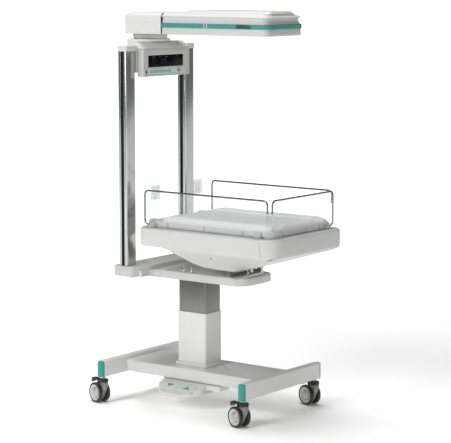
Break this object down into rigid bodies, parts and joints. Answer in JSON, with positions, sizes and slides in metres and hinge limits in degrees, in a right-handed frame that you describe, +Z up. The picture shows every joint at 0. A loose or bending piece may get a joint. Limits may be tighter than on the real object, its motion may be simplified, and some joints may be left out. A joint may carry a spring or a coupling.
{
  "type": "infant radiant warmer",
  "caption": "Infant radiant warmer: lifting column, tilting bed with clear fold-down guards, and a heater head that swivels on a mast, on braked twin-wheel castors.",
  "frame": {"origin": "on the floor, in the middle of the object's width and length", "axes": "+Z up; +Y towards the mast; +X to the right of someone who faces the mast from the foot end"},
  "size_m": [0.6664, 1.122, 1.927],
  "materials": {
    "white_paint": "white powder coat",
    "white_plastic": "white moulded shell, half gloss",
    "pale_plastic": "pale grey moulding",
    "teal_plastic": "teal moulding",
    "dark_column": "dark anodised",
    "bright_aluminium": "bright anodised",
    "steel": "plain steel",
    "chrome": "polished",
    "tyre_rubber": "black tread on a grey hub",
    "castor_grey": "dark grey nylon",
    "black_plastic": "black",
    "black_glass": "black display window",
    "keypad_film": "pale green film",
    "clear_acrylic": "clear sheet",
    "frosted_plastic": "translucent",
    "mattress_cover": "smooth wipe-clean cover",
    "element_ceramic": "ceramic coated tube"
  },
  "bodies": {
    "base": {"base_deck": "white_paint", "front_rail": "white_paint", "rear_rail": "white_paint", "front_rail_cap_left": "teal_plastic", "front_rail_cap_right": "teal_plastic", "rear_rail_cap_left": "teal_plastic", "rear_rail_cap_right": "teal_plastic", "column_collar": "white_plastic", "lower_column": "white_paint", "lift_actuator": "steel", "pedal_housing": "white_plastic"},
    "lift": {"upper_column": "dark_column", "lift_rod": "chrome", "support_arm": "white_paint", "post_left": "bright_aluminium", "post_right": "bright_aluminium", "mast_cover": "pale_plastic", "display_case": "white_plastic", "display_window": "black_glass", "keypad": "keypad_film", "pivot_base": "white_plastic", "tilt_bracket": "steel"},
    "head": {"head_hub": "white_plastic", "head_canopy": "white_plastic", "head_trim": "teal_plastic", "head_base": "white_plastic", "heater_grille": "steel", "heat_reflector": "bright_aluminium", "heater_element": "element_ceramic", "exam_lamp": "frosted_plastic"},
    "bed": {"bed_tray": "white_plastic", "tilt_handle": "black_plastic", "mattress_platform": "frosted_plastic", "mattress": "mattress_cover"},
    "tilt_lever_body": {"tilt_lever": "white_plastic"},
    "guard_left": {"guard_rod_left": "chrome", "guard_pane_left": "clear_acrylic"},
    "guard_right": {"guard_rod_right": "chrome", "guard_pane_right": "clear_acrylic"},
    "guard_front": {"guard_rod_front": "chrome", "guard_pane_front": "clear_acrylic"},
    "guard_rear": {"rear_pane": "clear_acrylic"},
    "pedal_down": {"pedal_down_key": "pale_plastic"},
    "pedal_up": {"pedal_up_key": "pale_plastic"},
    "castor_front_left": {"castor_fork_front_left": "castor_grey"},
    "brake_front_left": {"castor_brake_front_left": "black_plastic"},
    "wheel_outer_front_left": {"castor_wheel_outer_front_left": "tyre_rubber"},
    "wheel_inner_front_left": {"castor_wheel_inner_front_left": "tyre_rubber"},
    "castor_front_right": {"castor_fork_front_right": "castor_grey"},
    "brake_front_right": {"castor_brake_front_right": "black_plastic"},
    "wheel_outer_front_right": {"castor_wheel_outer_front_right": "tyre_rubber"},
    "wheel_inner_front_right": {"castor_wheel_inner_front_right": "tyre_rubber"},
    "castor_rear_left": {"castor_fork_rear_left": "castor_grey"},
    "brake_rear_left": {"castor_brake_rear_left": "black_plastic"},
    "wheel_outer_rear_left": {"castor_wheel_outer_rear_left": "tyre_rubber"},
    "wheel_inner_rear_left": {"castor_wheel_inner_rear_left": "tyre_rubber"},
    "castor_rear_right": {"castor_fork_rear_right": "castor_grey"},
    "brake_rear_right": {"castor_brake_rear_right": "black_plastic"},
    "wheel_outer_rear_right": {"castor_wheel_outer_rear_right": "tyre_rubber"},
    "wheel_inner_rear_right": {"castor_wheel_inner_rear_right": "tyre_rubber"}
  },
  "joints": [
    {"name": "column_lift", "type": "slide", "parent": "base", "child": "lift", "axis": [0, 0, 1], "range_m": [-0.1, 0.1]},
    {"name": "head_swivel", "type": "hinge", "parent": "lift", "child": "head", "pos_m": [0, 0.398, 1.784], "axis": [0, 0, 1], "range_deg": [-90, 90]},
    {"name": "bed_tilt", "type": "hinge", "parent": "lift", "child": "bed", "pos_m": [0, -0.172, 0.748], "axis": [1, 0, 0], "range_deg": [-10, 10]},
    {"name": "tilt_release", "type": "hinge", "parent": "bed", "child": "tilt_lever_body", "pos_m": [-0.05, -0.309, 0.6955], "axis": [0, 1, 0], "range_deg": [0, 3], "stiffness_Nm_per_rad": 1, "springref_deg": -5.73},
    {"name": "fold_left", "type": "hinge", "parent": "bed", "child": "guard_left", "pos_m": [-0.264, -0.1415, 0.9085], "axis": [0, -1, 0], "range_deg": [0, 100]},
    {"name": "fold_right", "type": "hinge", "parent": "bed", "child": "guard_right", "pos_m": [0.264, -0.1415, 0.9085], "axis": [0, 1, 0], "range_deg": [0, 100]},
    {"name": "fold_front", "type": "hinge", "parent": "bed", "child": "guard_front", "pos_m": [0, -0.519, 0.9085], "axis": [1, 0, 0], "range_deg": [0, 100]},
    {"name": "rear_pane_lift", "type": "slide", "parent": "bed", "child": "guard_rear", "axis": [0, 0, 1], "range_m": [0, 0.03]},
    {"name": "down_key_press", "type": "slide", "parent": "base", "child": "pedal_down", "axis": [-0.3502, 0, 0.9367], "range_m": [-0.0025, 0], "stiffness_N_per_m": 1000, "springref_m": 0.002},
    {"name": "up_key_press", "type": "slide", "parent": "base", "child": "pedal_up", "axis": [-0.3502, 0, 0.9367], "range_m": [-0.0025, 0], "stiffness_N_per_m": 1000, "springref_m": 0.002},
    {"name": "swivel_front_left", "type": "hinge", "parent": "base", "child": "castor_front_left", "pos_m": [-0.29, -0.392, 0.13], "axis": [0, 0, 1], "continuous": true},
    {"name": "roll_outer_front_left", "type": "hinge", "parent": "castor_front_left", "child": "wheel_outer_front_left", "pos_m": [-0.30245, -0.35036, 0.04957], "axis": [0.9659, -0.2588, 0], "continuous": true},
    {"name": "roll_inner_front_left", "type": "hinge", "parent": "castor_front_left", "child": "wheel_inner_front_left", "pos_m": [-0.2584, -0.36216, 0.04957], "axis": [0.9659, -0.2588, 0], "continuous": true},
    {"name": "brake_press_front_left", "type": "hinge", "parent": "castor_front_left", "child": "brake_front_left", "pos_m": [-0.28211, -0.36254, 0.0985], "axis": [-0.9659, 0.2588, 0], "range_deg": [0, 8]},
    {"name": "swivel_front_right", "type": "hinge", "parent": "base", "child": "castor_front_right", "pos_m": [0.29, -0.392, 0.13], "axis": [0, 0, 1], "continuous": true},
    {"name": "roll_outer_front_right", "type": "hinge", "parent": "castor_front_right", "child": "wheel_outer_front_right", "pos_m": [0.27755, -0.35036, 0.04957], "axis": [0.9659, -0.2588, 0], "continuous": true},
    {"name": "roll_inner_front_right", "type": "hinge", "parent": "castor_front_right", "child": "wheel_inner_front_right", "pos_m": [0.3216, -0.36216, 0.04957], "axis": [0.9659, -0.2588, 0], "continuous": true},
    {"name": "brake_press_front_right", "type": "hinge", "parent": "castor_front_right", "child": "brake_front_right", "pos_m": [0.29789, -0.36254, 0.0985], "axis": [-0.9659, 0.2588, 0], "range_deg": [0, 8]},
    {"name": "swivel_rear_left", "type": "hinge", "parent": "base", "child": "castor_rear_left", "pos_m": [-0.29, 0.468, 0.13], "axis": [0, 0, 1], "continuous": true},
    {"name": "roll_outer_rear_left", "type": "hinge", "parent": "castor_rear_left", "child": "wheel_outer_rear_left", "pos_m": [-0.30245, 0.50964, 0.04957], "axis": [0.9659, -0.2588, 0], "continuous": true},
    {"name": "roll_inner_rear_left", "type": "hinge", "parent": "castor_rear_left", "child": "wheel_inner_rear_left", "pos_m": [-0.2584, 0.49784, 0.04957], "axis": [0.9659, -0.2588, 0], "continuous": true},
    {"name": "brake_press_rear_left", "type": "hinge", "parent": "castor_rear_left", "child": "brake_rear_left", "pos_m": [-0.28211, 0.49746, 0.0985], "axis": [-0.9659, 0.2588, 0], "range_deg": [0, 8]},
    {"name": "swivel_rear_right", "type": "hinge", "parent": "base", "child": "castor_rear_right", "pos_m": [0.29, 0.468, 0.13], "axis": [0, 0, 1], "continuous": true},
    {"name": "roll_outer_rear_right", "type": "hinge", "parent": "castor_rear_right", "child": "wheel_outer_rear_right", "pos_m": [0.27755, 0.50964, 0.04957], "axis": [0.9659, -0.2588, 0], "continuous": true},
    {"name": "roll_inner_rear_right", "type": "hinge", "parent": "castor_rear_right", "child": "wheel_inner_rear_right", "pos_m": [0.3216, 0.49784, 0.04957], "axis": [0.9659, -0.2588, 0], "continuous": true},
    {"name": "brake_press_rear_right", "type": "hinge", "parent": "castor_rear_right", "child": "brake_rear_right", "pos_m": [0.29789, 0.49746, 0.0985], "axis": [-0.9659, 0.2588, 0], "range_deg": [0, 8]}
  ]
}
